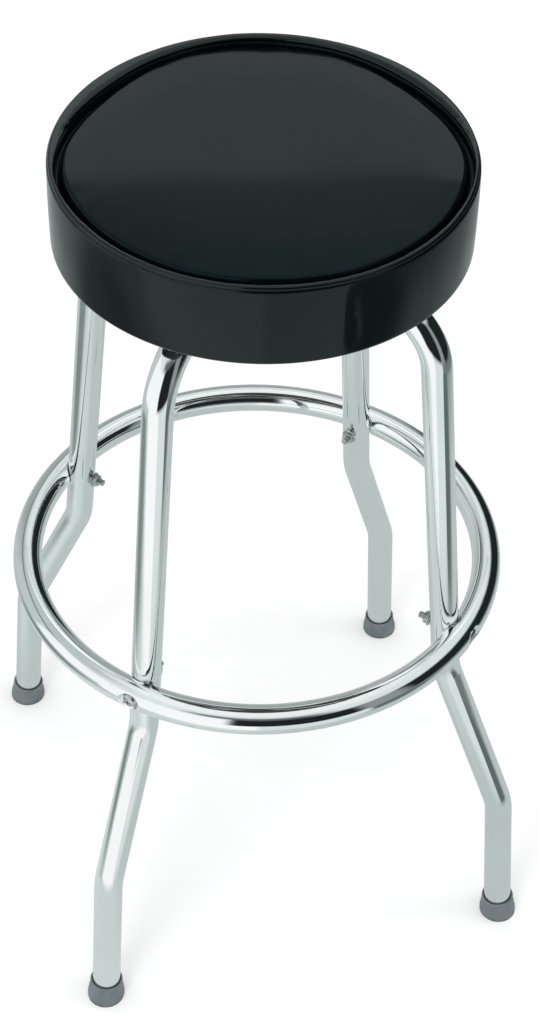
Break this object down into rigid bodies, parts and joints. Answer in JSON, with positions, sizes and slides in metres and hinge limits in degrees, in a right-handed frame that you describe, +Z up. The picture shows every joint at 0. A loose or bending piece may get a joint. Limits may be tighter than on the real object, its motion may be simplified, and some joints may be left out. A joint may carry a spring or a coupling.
{
  "type": "counter stool",
  "caption": "Round backless counter stool with a padded swivel seat, bent chromed tube legs, a foot ring and rubber feet.",
  "frame": {"origin": "on the floor, under the middle of the seat", "axes": "+Z up along the seat's turning axis; -Y towards the front, with a leg on each diagonal"},
  "size_m": [0.4362, 0.4362, 0.7817],
  "materials": {
    "chromed_tube": "polished",
    "seat_vinyl": "gloss",
    "seat_padding": "matte",
    "seat_plywood": "matte",
    "painted_plate": "satin",
    "zinc_plated_steel": "satin",
    "bearing_steel": "polished",
    "cage_brass": "satin",
    "foot_rubber": "matte"
  },
  "bodies": {
    "base": {"leg_front_left": "chromed_tube", "leg_front_right": "chromed_tube", "leg_back_right": "chromed_tube", "leg_back_left": "chromed_tube", "foot_ring": "chromed_tube", "rubber_foot_front_left": "foot_rubber", "rubber_foot_front_right": "foot_rubber", "rubber_foot_back_right": "foot_rubber", "rubber_foot_back_left": "foot_rubber", "foot_glide_disc_front_left": "zinc_plated_steel", "foot_glide_disc_front_right": "zinc_plated_steel", "foot_glide_disc_back_right": "zinc_plated_steel", "foot_glide_disc_back_left": "zinc_plated_steel", "ring_bolt_front_left": "zinc_plated_steel", "ring_bolt_front_right": "zinc_plated_steel", "ring_bolt_back_right": "zinc_plated_steel", "ring_bolt_back_left": "zinc_plated_steel", "ring_nut_front_left": "zinc_plated_steel", "ring_nut_front_right": "zinc_plated_steel", "ring_nut_back_right": "zinc_plated_steel", "ring_nut_back_left": "zinc_plated_steel", "leg_bolt_outer_front_left": "zinc_plated_steel", "leg_bolt_outer_front_right": "zinc_plated_steel", "leg_bolt_outer_back_right": "zinc_plated_steel", "leg_bolt_outer_back_left": "zinc_plated_steel", "leg_bolt_inner_front_left": "zinc_plated_steel", "leg_bolt_inner_front_right": "zinc_plated_steel", "leg_bolt_inner_back_right": "zinc_plated_steel", "leg_bolt_inner_back_left": "zinc_plated_steel", "swivel_bottom_plate": "painted_plate", "kingpin": "zinc_plated_steel", "kingpin_washer": "zinc_plated_steel"},
    "ball_carrier": {"ball_cage": "cage_brass", "swivel_ball_01": "bearing_steel", "swivel_ball_02": "bearing_steel", "swivel_ball_03": "bearing_steel", "swivel_ball_04": "bearing_steel", "swivel_ball_05": "bearing_steel", "swivel_ball_06": "bearing_steel", "swivel_ball_07": "bearing_steel", "swivel_ball_08": "bearing_steel", "swivel_ball_09": "bearing_steel", "swivel_ball_10": "bearing_steel"},
    "seat": {"swivel_top_plate": "painted_plate", "seat_screw_front_left": "zinc_plated_steel", "seat_screw_front_right": "zinc_plated_steel", "seat_screw_back_right": "zinc_plated_steel", "seat_screw_back_left": "zinc_plated_steel", "seat_tee_nut_front_left": "zinc_plated_steel", "seat_tee_nut_front_right": "zinc_plated_steel", "seat_tee_nut_back_right": "zinc_plated_steel", "seat_tee_nut_back_left": "zinc_plated_steel", "seat_board": "seat_plywood", "seat_foam": "seat_padding", "seat_top_panel": "seat_vinyl", "seat_bead": "seat_vinyl", "seat_side_band": "seat_vinyl"}
  },
  "joints": [
    {"name": "seat_swivel", "type": "hinge", "parent": "base", "child": "seat", "pos_m": [0, 0, 0.6977], "axis": [0, 0, 1], "continuous": true},
    {"name": "ball_cage_orbit", "type": "hinge", "parent": "base", "child": "ball_carrier", "pos_m": [0, 0, 0.6977], "axis": [0, 0, 1], "continuous": true}
  ],
  "couplings": [
    {"joint": "ball_cage_orbit", "follows": "seat_swivel", "ratio": 0.5}
  ]
}
